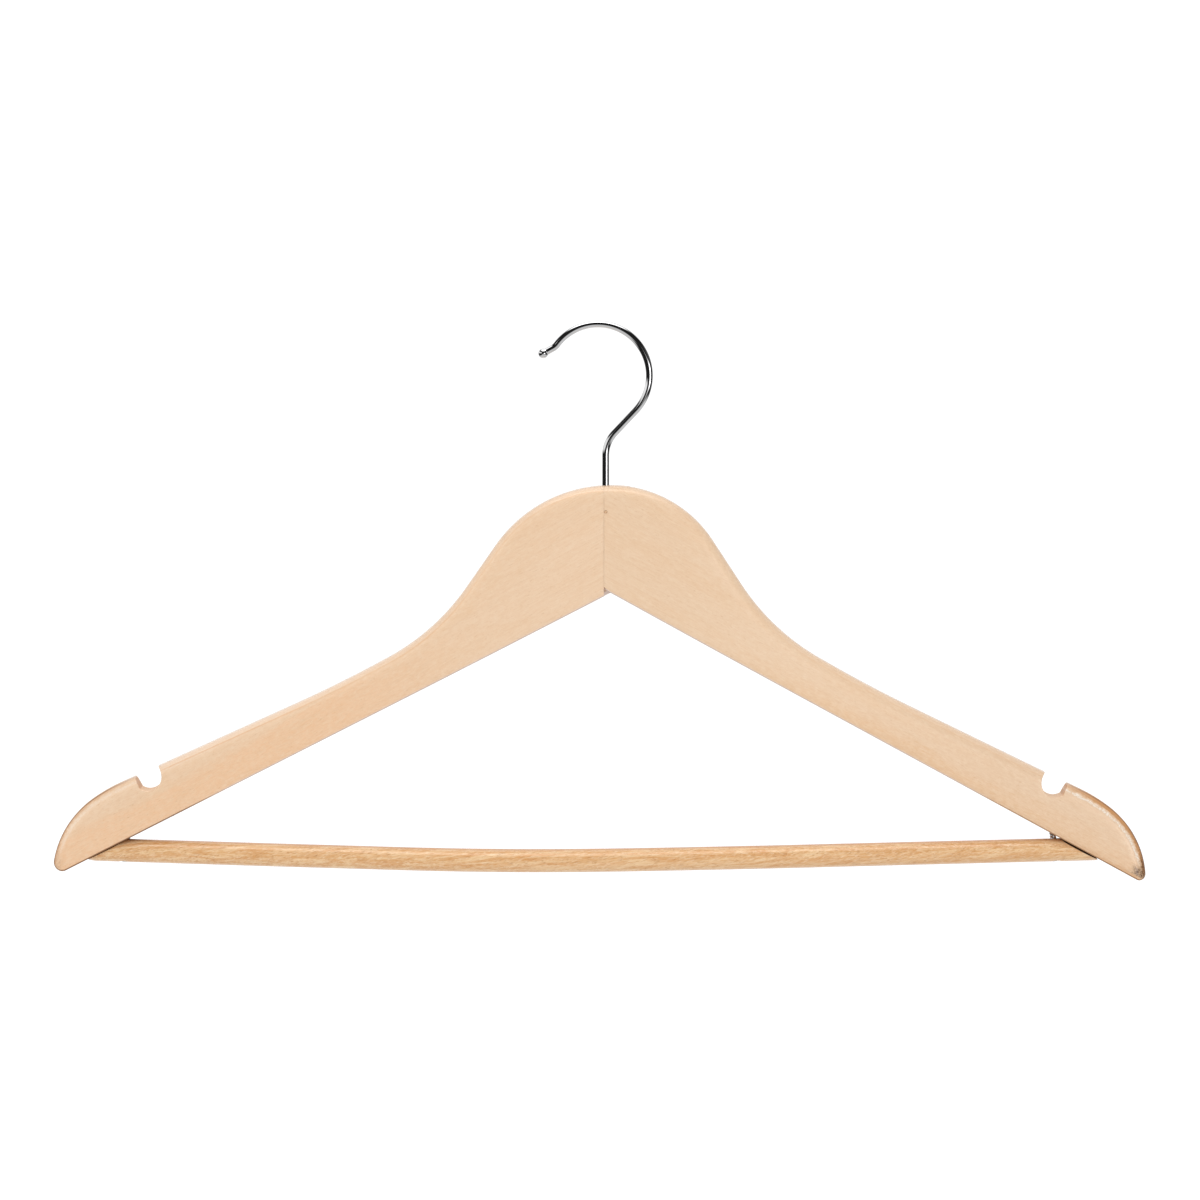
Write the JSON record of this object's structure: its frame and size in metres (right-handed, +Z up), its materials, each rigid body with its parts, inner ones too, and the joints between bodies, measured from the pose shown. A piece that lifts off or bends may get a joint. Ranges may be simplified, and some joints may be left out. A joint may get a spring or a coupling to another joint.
{
  "type": "clothes hanger",
  "caption": "Wooden suit hanger with swept-back arms, strap notches, a round trouser bar and a swivelling chrome wire hook.",
  "frame": {"origin": "inside of the hook's crown, where the hanger rests on a rail", "axes": "+Z up, X along the arms, the front face looks towards -Y and the arm ends are swept back towards +Y"},
  "size_m": [0.4301, 0.0333, 0.2203],
  "materials": {
    "arm_wood": "satin clear lacquer",
    "bar_wood": "satin clear lacquer",
    "chrome_wire": "bright chrome plate",
    "steel": "bright drawn steel"
  },
  "bodies": {
    "hook": {"hook": "chrome_wire"},
    "hanger_body": {"left_arm": "arm_wood", "right_arm": "arm_wood", "trouser_bar": "bar_wood", "hook_pin": "steel", "left_bar_screw": "steel", "right_bar_screw": "steel"}
  },
  "joints": [
    {"name": "hook_swivel", "type": "hinge", "parent": "hook", "child": "hanger_body", "pos_m": [0.003, 0, -0.0709], "axis": [0, 0, 1], "continuous": true}
  ]
}
